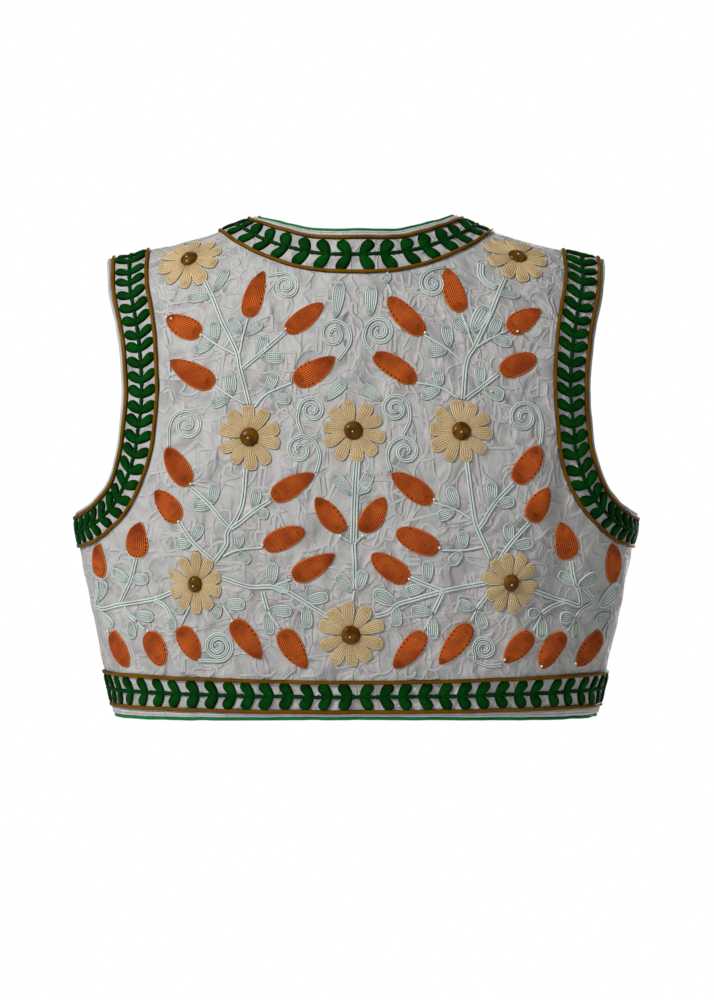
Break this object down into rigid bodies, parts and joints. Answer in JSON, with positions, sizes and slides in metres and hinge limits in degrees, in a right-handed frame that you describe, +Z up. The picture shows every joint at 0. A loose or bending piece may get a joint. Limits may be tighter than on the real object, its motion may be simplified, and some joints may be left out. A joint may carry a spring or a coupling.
{
  "type": "embroidered waistcoat",
  "caption": "Short sleeveless waistcoat, filled out as worn, with padded flowers and leaves worked on its back and corded leaf borders round neck, fronts, hem and armholes.",
  "frame": {"origin": "midway between the neck ends of the two shoulder seams, where the wearer's shoulders hold the garment", "axes": "+X to the wearer's right, +Y to the wearer's front, +Z up"},
  "size_m": [0.437, 0.2186, 0.3852],
  "materials": {
    "ground_cloth": "light grey-lilac cloth, softly sheened, with tone-on-tone raised lines",
    "green_piping": "green corded piping",
    "brown_cord": "brown couched cord",
    "leaf_green": "dark green padded stitching",
    "teardrop_orange": "orange-brown rows of chain stitch",
    "petal_tan": "tan rows of chain stitch",
    "button_brown": "glossy brown domed bead",
    "stem_mint": "pale mint couched thread",
    "seed_bead": "small pale beads"
  },
  "bodies": {
    "root": {"back": "ground_cloth", "front_left": "ground_cloth", "front_right": "ground_cloth", "edge_piping": "green_piping", "edge_cord_outer": "brown_cord", "edge_cord_inner": "brown_cord", "armhole_piping_left": "ground_cloth", "armhole_piping_right": "ground_cloth", "armhole_cord_outer_left": "brown_cord", "armhole_cord_outer_right": "brown_cord", "armhole_cord_inner_left": "brown_cord", "armhole_cord_inner_right": "brown_cord"}
  },
  "joints": []
}
